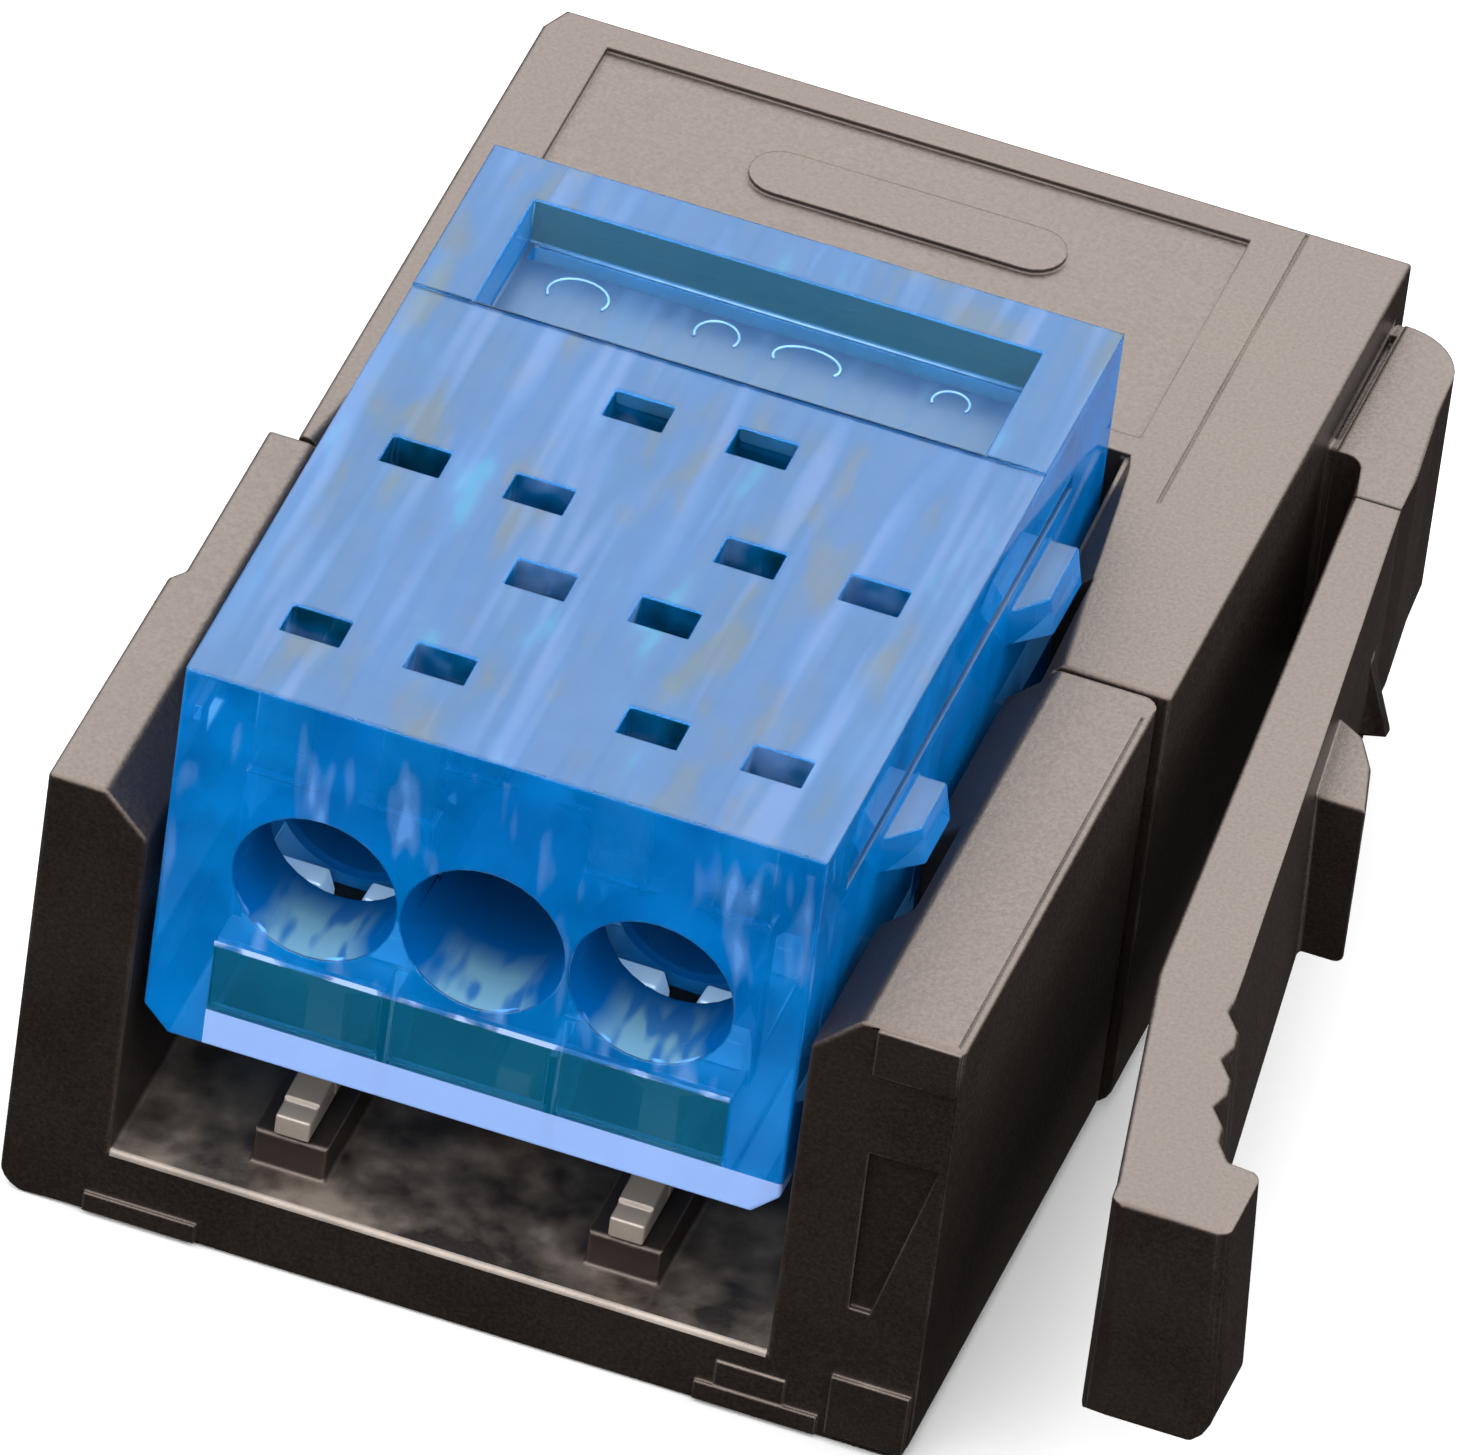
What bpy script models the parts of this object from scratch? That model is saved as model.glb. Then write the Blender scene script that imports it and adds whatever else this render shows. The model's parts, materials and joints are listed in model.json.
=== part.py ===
"""Three-pole insulation-displacement connector plug for sensor cable.

A dark moulded housing holds three stamped contacts on ribs in its floor. A translucent
cover with three wire channels stands raised over them and slides straight down when it is
pressed. The latch lever beside the housing flexes about a thin neck at its far end.

Frame: +X towards the latch lever, -Y towards the wire entry, +Y towards the mating end,
+Z up. The origin is the middle of the housing's flat underside, on the middle wire's line.
"""

import math

import bmesh
import bpy
from mathutils import Vector

MM = 0.001

# Contacts and wires
PITCH = 2.0 * MM
POLES = 3
WIRE_CHANNEL_RADIUS = 0.92 * MM
WIRE_Z = 5.38 * MM
PRONG_OFFSET = 0.74 * MM
FORK_SPACING = 3.34 * MM
FORK_STAGGER = 1.91 * MM
REAR_FORK_Y = -6.25 * MM
FORK_THICKNESS = 0.32 * MM
FORK_TIP_Z = 4.45 * MM
STRIP_WIDTH = 0.42 * MM
STRIP_BOTTOM_Z = 1.46 * MM
STRIP_TOP_Z = 1.80 * MM
STRIP_REAR_Y = -7.26 * MM

# Housing
HOUSING_NEAR_Y = -7.79 * MM
HOUSING_FAR_Y = 7.88 * MM
WALL_END_Y = -0.93 * MM
LEFT_WALL_X = -5.18 * MM
LEFT_WAIST_X = -5.01 * MM
LEFT_WAIST_Y = -3.90 * MM
NOSE_LEFT_X = -4.66 * MM
NOSE_RIGHT_X = 5.82 * MM
RIGHT_WALL_X = 5.72 * MM
WALL_TOP_Z = 6.02 * MM
DECK_Z = 6.05 * MM
BOTTOM_ROUND = 0.35 * MM
CAVITY_HALF_WIDTH = 3.94 * MM
CAVITY_FAR_Y = 3.08 * MM
CAVITY_CHAMFER = 0.55 * MM
SEAT_GAP = 0.03 * MM
PANEL_DEPTH = 0.07 * MM
FLOOR_Z = 0.95 * MM
TUNNEL_TOP_Z = 4.40 * MM
RIB_HALF_WIDTH = 0.44 * MM
RIB_NEAR_Y = -7.24 * MM

# Wiring cover, in its raised position
COVER_HALF_WIDTH = 3.80 * MM
COVER_NEAR_Y = -7.63 * MM
COVER_FAR_Y = 2.80 * MM
COVER_BOTTOM_Z = 2.74 * MM
COVER_TOP_Z = 7.96 * MM
COVER_ROOF_Z = 4.18 * MM
FRONT_WALL = 0.12 * MM
FRONT_LIP = 0.25 * MM
LIP_HEIGHT = 0.50 * MM
SHAFT_TOP_Z = 6.28 * MM
SLOT_WIDTH = 0.70 * MM
SLOT_LENGTH = 0.50 * MM

# Latch lever
LEVER_TOP_Z = 5.50 * MM
LEVER_BOTTOM_Z = 2.45 * MM
NECK_PIVOT = (6.62 * MM, 4.30 * MM)
NECK_RADIUS = 0.60 * MM
NECK_GAP = 0.05 * MM
LEVER_DRAFT = 0.16 * MM

OVERSHOOT = 0.6 * MM
CIRCLE_STEPS = 32


# ---------------------------------------------------------------- mesh helpers

def clear_scene():
    for obj in list(bpy.data.objects):
        bpy.data.objects.remove(obj, do_unlink=True)


def new_object(name, bm):
    bmesh.ops.recalc_face_normals(bm, faces=bm.faces)
    mesh = bpy.data.meshes.new(name)
    bm.to_mesh(mesh)
    bm.free()
    obj = bpy.data.objects.new(name, mesh)
    bpy.context.scene.collection.objects.link(obj)
    return obj


def loft(name, low_ring, high_ring):
    """A closed solid between two rings with the same number of points."""
    bm = bmesh.new()
    low = [bm.verts.new(p) for p in low_ring]
    high = [bm.verts.new(p) for p in high_ring]
    bm.faces.new(low)
    bm.faces.new(list(reversed(high)))
    count = len(low)
    for i in range(count):
        j = (i + 1) % count
        bm.faces.new((low[j], low[i], high[i], high[j]))
    return new_object(name, bm)


def prism(name, outline, axis, start, end):
    """Extrude a flat outline along one axis. The outline holds the other two, in order."""
    def place(point, along):
        pair = list(point)
        pair.insert("XYZ".index(axis), along)
        return Vector(pair)
    return loft(name, [place(p, start) for p in outline], [place(p, end) for p in outline])


def box(name, x, y, z):
    corners = [(x[0], y[0]), (x[1], y[0]), (x[1], y[1]), (x[0], y[1])]
    return prism(name, corners, "Z", z[0], z[1])


def hull(name, points):
    bm = bmesh.new()
    verts = [bm.verts.new(p) for p in points]
    bmesh.ops.convex_hull(bm, input=verts)
    return new_object(name, bm)


def arc(centre, radius, start_deg, end_deg, steps):
    points = []
    for i in range(steps + 1):
        angle = math.radians(start_deg + (end_deg - start_deg) * i / steps)
        points.append((centre[0] + radius * math.cos(angle), centre[1] + radius * math.sin(angle)))
    return points


def turned_along_y(name, x, z, profile):
    """A round solid about a line along Y, from (y, radius) pairs."""
    bm = bmesh.new()
    rings = []
    for y, radius in profile:
        angles = [2 * math.pi * i / CIRCLE_STEPS for i in range(CIRCLE_STEPS)]
        points = [(x + radius * math.cos(a), y, z + radius * math.sin(a)) for a in angles]
        rings.append([bm.verts.new(p) for p in points])
    for ring, following in zip(rings, rings[1:]):
        for i in range(CIRCLE_STEPS):
            j = (i + 1) % CIRCLE_STEPS
            bm.faces.new((ring[i], ring[j], following[j], following[i]))
    bm.faces.new(rings[0])
    bm.faces.new(list(reversed(rings[-1])))
    return new_object(name, bm)


def boolean(target, tool, operation):
    modifier = target.modifiers.new(tool.name, "BOOLEAN")
    modifier.operation = operation
    modifier.solver = "EXACT"
    modifier.object = tool
    tool.hide_render = True
    tool.display_type = "WIRE"


def cut(target, *tools):
    for tool in tools:
        boolean(target, tool, "DIFFERENCE")


def join(target, *tools):
    for tool in tools:
        boolean(target, tool, "UNION")


def bevel_edges(obj, width, segments, chosen):
    """Bevel the edges whose two end points both satisfy the test."""
    bm = bmesh.new()
    bm.from_mesh(obj.data)
    edges = [e for e in bm.edges if chosen(e.verts[0].co, e.verts[1].co)]
    bmesh.ops.bevel(bm, geom=edges, offset=width, segments=segments, profile=0.5,
                    affect="EDGES", clamp_overlap=True)
    bmesh.ops.recalc_face_normals(bm, faces=bm.faces)
    bm.to_mesh(obj.data)
    bm.free()


def near(a, b):
    return abs(a - b) < 0.002 * MM


def material(name, colour, roughness, metallic=0.0, transmission=0.0):
    mat = bpy.data.materials.new(name)
    mat.use_nodes = True
    shader = mat.node_tree.nodes["Principled BSDF"]
    shader.inputs["Base Color"].default_value = (*colour, 1.0)
    shader.inputs["Roughness"].default_value = roughness
    shader.inputs["Metallic"].default_value = metallic
    shader.inputs["Transmission Weight"].default_value = transmission
    return mat


def finish_object(obj, mat):
    obj.data.materials.append(mat)
    obj.data.shade_smooth()
    obj.data.set_sharp_from_angle(angle=math.radians(30))


def wire_positions():
    return [(i - (POLES - 1) / 2) * PITCH for i in range(POLES)]


def fork_rows(index):
    """The two fork rows of a contact; the middle contact's rows are staggered."""
    first = REAR_FORK_Y + (FORK_STAGGER if index % 2 else 0.0)
    return [first, first + FORK_SPACING]


# ---------------------------------------------------------------- housing

def housing_outline():
    """The housing's plan, clockwise from the near left corner."""
    corner = 0.22 * MM
    groove = 0.05 * MM
    points = [(LEFT_WALL_X, HOUSING_NEAR_Y), (LEFT_WALL_X + 0.03 * MM, LEFT_WAIST_Y)]
    points += [(LEFT_WAIST_X, LEFT_WAIST_Y + 0.2 * MM), (LEFT_WAIST_X, WALL_END_Y)]
    points += [(NOSE_LEFT_X, WALL_END_Y), (NOSE_LEFT_X, HOUSING_FAR_Y - 0.4 * MM)]
    points += [(NOSE_LEFT_X + 0.16 * MM, HOUSING_FAR_Y), (NOSE_RIGHT_X, HOUSING_FAR_Y)]
    points += [(NOSE_RIGHT_X, WALL_END_Y + groove)]
    centre = (RIGHT_WALL_X - corner, WALL_END_Y - corner)
    points += [(centre[0] - groove, WALL_END_Y + groove), (centre[0] - groove, WALL_END_Y)]
    points += arc(centre, corner, 90, 0, 4)
    points += [(RIGHT_WALL_X, HOUSING_NEAR_Y)]
    return points


def round_bottom_edges(housing):
    """Round the long lower edges, one straight stretch of the sides at a time."""
    beyond = HOUSING_FAR_Y + OVERSHOOT
    stretches = (
        (-1, LEFT_WALL_X, -beyond, LEFT_WAIST_Y),
        (-1, LEFT_WAIST_X, LEFT_WAIST_Y, WALL_END_Y),
        (-1, NOSE_LEFT_X, WALL_END_Y, beyond),
        (1, RIGHT_WALL_X, -beyond, WALL_END_Y),
        (1, NOSE_RIGHT_X, WALL_END_Y, beyond),
    )
    r = BOTTOM_ROUND
    for side, x, near_y, far_y in stretches:
        centre = (x - side * r, r)
        start, end = (-90, 0) if side > 0 else (-90, -180)
        section = arc(centre, r, start, end, 5)
        section += [(x + side * OVERSHOOT, r), (x + side * OVERSHOOT, -OVERSHOOT)]
        section += [(x - side * r, -OVERSHOOT)]
        cut(housing, prism("cut_bottom_round", section, "Y", near_y, far_y))


def make_cavity(housing):
    """The open trough for the cover, with a chamfer along the top of its walls."""
    near_y = HOUSING_NEAR_Y - OVERSHOOT
    top = DECK_Z + OVERSHOOT
    half = CAVITY_HALF_WIDTH
    block_top = 2.08 * MM
    cut(housing, box("cut_cavity", (-half, half), (near_y, CAVITY_FAR_Y), (block_top, top)))

    flare_low = WALL_TOP_Z - CAVITY_CHAMFER
    for side in (-1, 1):
        inner = side * (half - 0.2 * MM)
        outer = side * (half + CAVITY_CHAMFER + OVERSHOOT)
        rise = CAVITY_CHAMFER + OVERSHOOT
        low = [(inner, flare_low), (side * half, flare_low)]
        section = low + [(outer, flare_low + rise), (inner, flare_low + rise)]
        cut(housing, prism("cut_chamfer", section, "Y", near_y, WALL_END_Y + 0.05 * MM))
        near_section = [Vector((x, WALL_END_Y, z)) for x, z in section]
        far_x = side * (half + 0.06 * MM)
        far_points = [Vector((inner, CAVITY_FAR_Y, top)), Vector((far_x, CAVITY_FAR_Y, top)),
                      Vector((far_x, CAVITY_FAR_Y, DECK_Z - 0.05 * MM)),
                      Vector((inner, CAVITY_FAR_Y, DECK_Z - 0.1 * MM))]
        cut(housing, hull("cut_flare", near_section + far_points))

    # Floor channels, which leave one rib under each contact.
    rib = RIB_HALF_WIDTH
    over = block_top + 0.1 * MM
    edges = [-half] + [x + s * rib for x in wire_positions() for s in (-1, 1)] + [half]
    for left, right in zip(edges[0::2], edges[1::2]):
        cut(housing, box("cut_channel", (left, right), (near_y, CAVITY_FAR_Y), (FLOOR_Z, over)))
    cut(housing, box("cut_rib_fronts", (-half, half), (near_y, RIB_NEAR_Y), (FLOOR_Z, over)))
    for index, x in enumerate(wire_positions()):
        span = (x - rib - 0.1 * MM, x + rib + 0.1 * MM)
        if index % 2:
            rib_start = RIB_NEAR_Y + FORK_STAGGER
            cut(housing, box("cut_middle_rib", span, (near_y, rib_start), (FLOOR_Z, over)))
        seat = STRIP_BOTTOM_Z - SEAT_GAP
        cut(housing, box("cut_seat", span, (near_y, CAVITY_FAR_Y), (seat, over)))


def make_lug_channels(housing):
    """Upright channels in both walls that the cover's lugs slide down."""
    for near_y, far_y in ((-5.45, -3.88), (-0.98, 0.78)):
        for side in (-1, 1):
            span = sorted((side * (CAVITY_HALF_WIDTH - 0.1 * MM), side * 4.33 * MM))
            cut(housing, box("cut_lug_channel", span, (near_y * MM, far_y * MM),
                             (3.9 * MM, DECK_Z + OVERSHOOT)))


def make_nose(housing):
    """Contact openings through the nose, the label panel with its plain mark, and fine lines."""
    for x in wire_positions():
        cut(housing, box("cut_tunnel", (x - 0.50 * MM, x + 0.50 * MM),
                         (CAVITY_FAR_Y - 0.2 * MM, HOUSING_FAR_Y + OVERSHOOT),
                         (STRIP_BOTTOM_Z - 0.08 * MM, TUNNEL_TOP_Z)))
    cut(housing, box("cut_panel", (-3.85 * MM, 4.0 * MM), (3.42 * MM, 7.43 * MM),
                     (DECK_Z - PANEL_DEPTH, DECK_Z + OVERSHOOT)))
    mark_y = 6.16 * MM
    mark_radius = 0.40 * MM
    mark = arc((1.78 * MM, mark_y), mark_radius, -90, 90, 10)
    mark += arc((-1.26 * MM, mark_y), mark_radius, 90, 270, 10)
    join(housing, prism("label_mark", mark, "Z", DECK_Z - 0.3 * MM, DECK_Z - 0.005 * MM))
    cut(housing, box("cut_line", (4.54 * MM, 4.58 * MM), (2.4 * MM, HOUSING_FAR_Y - 0.06 * MM),
                     (DECK_Z - 0.025 * MM, DECK_Z + OVERSHOOT)))
    # The wall tops lie a touch below the deck, behind a fine groove.
    for span in ((-6 * MM, -CAVITY_HALF_WIDTH), (CAVITY_HALF_WIDTH, 6.4 * MM)):
        near_y = HOUSING_NEAR_Y - OVERSHOOT
        cut(housing, box("cut_wall_top", span, (near_y, WALL_END_Y),
                         (WALL_TOP_Z, DECK_Z + OVERSHOOT)))
        cut(housing, box("cut_wall_groove", span, (WALL_END_Y - 0.005 * MM, WALL_END_Y + 0.05 * MM),
                         (WALL_TOP_Z - 0.08 * MM, DECK_Z + OVERSHOOT)))
    # A thin lip along the outer edge of the right wall's top.
    cut(housing, box("cut_lip_line", (5.60 * MM, 5.63 * MM), (HOUSING_NEAR_Y + 0.05 * MM, -1.3 * MM),
                     (WALL_TOP_Z - 0.03 * MM, WALL_TOP_Z + OVERSHOOT)))


def make_near_face(housing):
    """Proud pads, ledges and the shallow funnel on the wire-entry face."""
    inside = HOUSING_NEAR_Y + 0.1 * MM
    pads = (
        ("pad_cap", (4.70, 5.68), (5.37, 6.00), 0.06),
        ("pad_foot", (4.73, 5.66), (0.12, 0.95), 0.06),
        ("pad_left_ledge", (-4.16, -2.82), (0.04, 0.29), 0.05),
        ("pad_right_ledge", (3.16, 4.62), (0.04, 0.29), 0.05),
        ("pad_upper_ledge", (3.38, 4.20), (0.25, 0.64), 0.025),
    )
    for name, x, z, proud in pads:
        pad = box(name, (x[0] * MM, x[1] * MM), (HOUSING_NEAR_Y - proud * MM, inside),
                  (z[0] * MM, z[1] * MM))
        join(housing, pad)
    low, high = 1.95 * MM, 4.22 * MM
    funnel = [(4.80 * MM, low), (5.05 * MM, low), (5.60 * MM, high), (4.78 * MM, high)]
    depth = 0.07 * MM
    cut(housing, prism("cut_funnel", funnel, "Y", HOUSING_NEAR_Y - OVERSHOOT, HOUSING_NEAR_Y + depth))


def lever_root_outline():
    """Plan of the fixed root block that the lever's neck grows from."""
    x, y = NECK_PIVOT
    half_deg = 29
    points = [(NOSE_RIGHT_X - 0.2 * MM, 7.42 * MM), (5.95 * MM, 7.40 * MM)]
    points += arc((5.98 * MM, 6.62 * MM), 0.78 * MM, 84, 8, 6)
    points += [(6.80 * MM, 6.0 * MM)]
    points += arc((x, y), NECK_RADIUS + NECK_GAP, 90 - half_deg, 90 + half_deg, 8)
    points += arc((6.05 * MM, 4.62 * MM), 0.28 * MM, 20, 100, 4)
    points += [(NOSE_RIGHT_X - 0.2 * MM, 4.93 * MM)]
    return points


def make_lever_root(housing):
    root = prism("lever_root", lever_root_outline(), "Z", LEVER_BOTTOM_Z, LEVER_TOP_Z)
    join(housing, root)
    cut(housing, box("cut_root_line", (NOSE_RIGHT_X + 0.02 * MM, NOSE_RIGHT_X + 0.10 * MM),
                     (5.1 * MM, 7.2 * MM), (LEVER_TOP_Z - 0.15 * MM, LEVER_TOP_Z + OVERSHOOT)))


def make_housing():
    housing = prism("housing", housing_outline(), "Z", 0.0, DECK_Z)
    round_bottom_edges(housing)
    make_cavity(housing)
    make_lug_channels(housing)
    make_nose(housing)
    make_near_face(housing)
    make_lever_root(housing)
    finish_object(housing, material("dark_brown_polyester", (0.020, 0.016, 0.014), 0.5))
    return housing


# ---------------------------------------------------------------- contacts

def fork_plate(name, x, row):
    """One flat fork: a stem on the strip, a yoke, and two prongs over a narrow wire slot."""
    slot = 0.17 * MM
    lead_in = 0.09 * MM
    stem = STRIP_WIDTH / 2 + 0.02 * MM
    outer = PRONG_OFFSET + 0.31 * MM
    shoulder = FORK_TIP_Z - 0.75 * MM
    yoke = FORK_TIP_Z - 1.40 * MM
    foot = STRIP_BOTTOM_Z + 0.1 * MM
    right = [(0.0, foot), (stem, foot), (stem, yoke), (outer, yoke + 0.45 * MM), (outer, shoulder)]
    right += [(PRONG_OFFSET + 0.22 * MM, FORK_TIP_Z), (slot + lead_in, FORK_TIP_Z)]
    right += [(slot, FORK_TIP_Z - 0.25 * MM), (slot, yoke + 0.35 * MM), (0.0, yoke + 0.25 * MM)]
    left = [(-px, pz) for px, pz in reversed(right[1:-1])]
    outline = [(x + px, pz) for px, pz in right + left]
    half = FORK_THICKNESS / 2
    return prism(name, outline, "Y", row - half, row + half)


def contact_profile():
    """Side view of the strip and its two-beam mating spring, as (y, z) points."""
    bend_y = 3.6 * MM
    beam_y = bend_y + 2.0 * MM
    tip_y = HOUSING_FAR_Y - 0.45 * MM
    pinch_y = tip_y - 0.6 * MM
    base = STRIP_BOTTOM_Z
    lower = [(STRIP_REAR_Y, base), (beam_y, base)]
    lower += [(pinch_y, base + 0.75 * MM), (tip_y, base + 0.45 * MM)]
    inner = [(tip_y, base + 0.70 * MM), (pinch_y, base + 1.02 * MM)]
    inner += [(beam_y, STRIP_TOP_Z), (bend_y + 0.5 * MM, STRIP_TOP_Z)]
    beams_top = TUNNEL_TOP_Z - 0.15 * MM

    def mirrored(points):
        """The upper beam's points: the lower beam's, turned over about the mid height."""
        return [(y, base + beams_top - z) for y, z in reversed(points)]

    rear = [(bend_y, beams_top), (bend_y, STRIP_TOP_Z)]
    end_z = STRIP_TOP_Z - 0.06 * MM
    end = [(-6.95 * MM, STRIP_TOP_Z), (-6.98 * MM, end_z), (STRIP_REAR_Y, end_z)]
    return lower + inner + mirrored(inner) + mirrored(lower[1:]) + rear + end


def make_contact(index, x):
    half = STRIP_WIDTH / 2
    contact = prism(f"contact_{index + 1}", contact_profile(), "X", x - half, x + half)
    if index % 2:
        rear = box("cut_strip_end", (x - 0.6 * MM, x + 0.6 * MM),
                   (STRIP_REAR_Y - 0.2 * MM, STRIP_REAR_Y + FORK_STAGGER),
                   (STRIP_BOTTOM_Z - 0.4 * MM, STRIP_TOP_Z + 0.4 * MM))
        cut(contact, rear)
    for row in fork_rows(index):
        join(contact, fork_plate("fork", x, row))
    finish_object(contact, material("plated_copper_alloy", (0.62, 0.56, 0.50), 0.3, metallic=1.0))
    return contact


# ---------------------------------------------------------------- wiring cover

def make_cover_underside(cover):
    """The open underside over the contacts, behind a thin front wall with a thicker lip."""
    low = COVER_BOTTOM_Z - OVERSHOOT
    wall_back = COVER_NEAR_Y + FRONT_WALL
    lip_back = COVER_NEAR_Y + FRONT_LIP
    half = 3.08 * MM
    web_end = -6.62 * MM
    web = 0.07 * MM
    open_y = (web_end, COVER_FAR_Y + OVERSHOOT)
    cut(cover, box("cut_under", (-half, half), open_y, (low, COVER_ROOF_Z)))
    edges = [-half, -PITCH / 2 - web, -PITCH / 2 + web, PITCH / 2 - web, PITCH / 2 + web, half]
    for left, right in zip(edges[0::2], edges[1::2]):
        bay_y = (lip_back, web_end + 0.1 * MM)
        cut(cover, box("cut_front_bay", (left, right), bay_y, (low, COVER_ROOF_Z)))
        band_z = (COVER_BOTTOM_Z + LIP_HEIGHT, COVER_ROOF_Z - 0.003 * MM)
        cut(cover, box("cut_front_band", (left, right), (wall_back, lip_back + 0.1 * MM), band_z))


def make_cover_channels(cover):
    """Wire channels, fork shafts and the twelve test slots over them."""
    radius = WIRE_CHANNEL_RADIUS
    mouth = radius + 0.06 * MM
    profile = [(COVER_NEAR_Y - OVERSHOOT, mouth), (COVER_NEAR_Y + 0.06 * MM, mouth)]
    profile += [(COVER_NEAR_Y + 0.30 * MM, radius), (1.20 * MM, radius)]
    profile += [(1.45 * MM, radius - 0.25 * MM)]
    shaft_z = (COVER_ROOF_Z - 0.2 * MM, SHAFT_TOP_Z)
    slot_z = (SHAFT_TOP_Z - 0.2 * MM, COVER_TOP_Z + OVERSHOOT)
    half_y = SLOT_LENGTH / 2
    inset_y = half_y - 0.004 * MM
    reach = PRONG_OFFSET + SLOT_WIDTH / 2 + 0.03 * MM
    for index, x in enumerate(wire_positions()):
        cut(cover, turned_along_y("cut_wire", x, WIRE_Z, profile))
        for row in fork_rows(index):
            span = (row - half_y, row + half_y)
            cut(cover, box("cut_shaft", (x - reach, x + reach), span, shaft_z))
            for side in (-1, 1):
                centre = x + side * PRONG_OFFSET
                slot = (centre - SLOT_WIDTH / 2, centre + SLOT_WIDTH / 2)
                cut(cover, box("cut_slot", slot, (row - inset_y, row + inset_y), slot_z))


def make_cover_window(cover):
    """The viewing recess that shows the wire ends, and the fine step in the cover's top."""
    top = COVER_TOP_Z + OVERSHOOT
    floor = COVER_TOP_Z - 0.60 * MM
    half = 3.06 * MM
    cut(cover, box("cut_step", (-COVER_HALF_WIDTH - OVERSHOOT, COVER_HALF_WIDTH + OVERSHOOT),
                   (COVER_NEAR_Y - OVERSHOOT, -0.02 * MM), (COVER_TOP_Z - 0.03 * MM, top)))
    cut(cover, box("cut_window", (-half, half), (0.0, 2.04 * MM), (floor, top)))
    cut(cover, box("cut_window_slot", (-half + 0.1 * MM, half - 0.1 * MM), (1.74 * MM, 1.98 * MM),
                   (6.5 * MM, floor + 0.1 * MM)))


def lug_points(near_y, far_y, slope_y, side):
    """A wedge-shaped lug with its sloped end towards the wire entry."""
    inner = COVER_HALF_WIDTH - 0.2 * MM
    outer = 4.25 * MM
    low = 6.04 * MM
    high = 6.55 * MM
    points = []
    for z, reach in ((low, outer), (high, outer - 0.10 * MM)):
        points += [Vector((side * inner, slope_y, z)), Vector((side * COVER_HALF_WIDTH, slope_y, z)),
                   Vector((side * reach, near_y, z)), Vector((side * reach, far_y, z)),
                   Vector((side * inner, far_y, z))]
    return points


def make_cover():
    half = COVER_HALF_WIDTH
    bevel = 0.32 * MM
    section = [(-half, COVER_BOTTOM_Z + bevel), (-half + bevel, COVER_BOTTOM_Z)]
    section += [(half - bevel, COVER_BOTTOM_Z), (half, COVER_BOTTOM_Z + bevel)]
    section += [(half, COVER_TOP_Z), (-half, COVER_TOP_Z)]
    cover = prism("wiring_cover", section, "Y", COVER_NEAR_Y, COVER_FAR_Y)
    for side in (-1, 1):
        groove = sorted((side * (half - 0.10 * MM), side * (half + OVERSHOOT)))
        cut(cover, box("cut_side_groove", groove, (-6.6 * MM, 1.3 * MM), (6.78 * MM, 7.0 * MM)))
        join(cover, hull("lug_far", lug_points(-0.40 * MM, 0.62 * MM, -0.85 * MM, side)))
        join(cover, hull("lug_near", lug_points(-4.90 * MM, -4.02 * MM, -5.32 * MM, side)))
    make_cover_underside(cover)
    make_cover_channels(cover)
    make_cover_window(cover)
    blue = material("clear_blue_polycarbonate", (0.02, 0.20, 0.72), 0.1, transmission=0.8)
    finish_object(cover, blue)
    return cover


# ---------------------------------------------------------------- latch lever

def lever_inner_x(y):
    """Edge that faces the housing, straight from the neck to the thumb section."""
    return 6.36 * MM + 0.076 * (4.4 * MM - y)


def lever_outer_x(y):
    return 6.90 * MM + 0.1146 * (4.7 * MM - y)


def lever_outline():
    """Plan of the lever, from its neck round the thumb ribs and back."""
    x, y = NECK_PIVOT
    thumb_y = -4.78 * MM
    end_y = -8.86 * MM
    points = arc((x, y), NECK_RADIUS, 62, 118, 8)
    points += [(lever_inner_x(y - 0.1 * MM), y - 0.1 * MM)]
    points += [(lever_inner_x(thumb_y + 0.3 * MM), thumb_y + 0.3 * MM)]
    points += [(7.07 * MM, thumb_y - 0.1 * MM), (7.80 * MM, end_y + 0.35 * MM)]
    corner_y = end_y + 0.16 * MM
    points += arc((7.98 * MM, corner_y), 0.16 * MM, 190, 270, 3)
    points += arc((9.08 * MM, corner_y), 0.16 * MM, 270, 360, 4)
    points += arc((9.04 * MM, -7.86 * MM), 0.20 * MM, 0, 80, 4)
    points += [(8.82 * MM, -7.62 * MM)]
    ribs = 3
    for i in range(ribs):
        crest = -7.20 * MM + i * 0.82 * MM
        base = lever_outer_x(crest) + (0.36 - 0.09 * i) * MM
        points += [(base, crest - 0.14 * MM), (base - 0.04 * MM, crest + 0.12 * MM)]
        points += [(base - 0.26 * MM, crest + 0.42 * MM)]
    points += [(lever_outer_x(-4.9 * MM), -4.9 * MM)]
    points += [(lever_outer_x(y - 0.1 * MM), y - 0.1 * MM)]
    return points


def latch_hook():
    """The hook that catches the mating part, with its lower outer edge rounded."""
    low, high = 2.50 * MM, 4.76 * MM
    profile = [(1.2, -0.2), (1.2, 0.02), (0.98, 0.34), (0.55, 0.52), (-0.21, 0.62), (-0.21, -0.2)]
    outline = [(lever_outer_x(y * MM) + proud * MM, y * MM) for y, proud in profile]
    block = prism("latch_hook", outline, "Z", low, high)
    clear_of_lever = lever_outer_x(0.5 * MM) + 0.3 * MM

    def lower_outer(a, b):
        return near(a.z, low) and near(b.z, low) and min(a.x, b.x) > clear_of_lever

    bevel_edges(block, 0.34 * MM, 4, lower_outer)
    return block


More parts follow.
